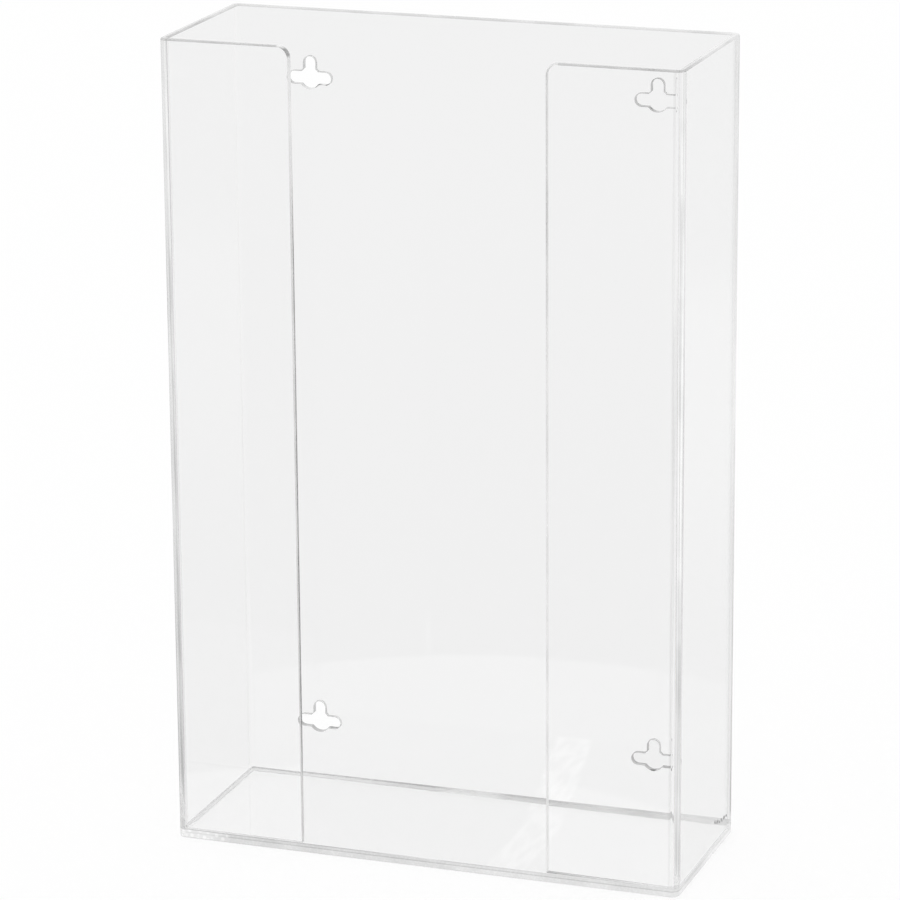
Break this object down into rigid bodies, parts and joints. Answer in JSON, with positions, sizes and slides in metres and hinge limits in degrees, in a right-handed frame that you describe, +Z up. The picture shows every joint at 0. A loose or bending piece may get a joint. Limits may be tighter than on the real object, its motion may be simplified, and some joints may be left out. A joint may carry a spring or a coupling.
{
  "type": "glove dispenser",
  "caption": "Clear open-topped upright case for stacked glove boxes, with a full-height front slot between two wings, a flat floor and three-way keyholes in its back.",
  "frame": {"origin": "centre of the floor plate's underside, on the surface that the case stands on", "axes": "+Z up; the front slot faces -Y and the back panel faces +Y; +X is to the right seen from the front"},
  "size_m": [0.254, 0.094, 0.395],
  "materials": {
    "clear_acrylic": "clear acrylic sheet, glossy faces, flame-polished edges"
  },
  "bodies": {
    "root": {"wall_sheet": "clear_acrylic", "floor_plate": "clear_acrylic"}
  },
  "joints": []
}
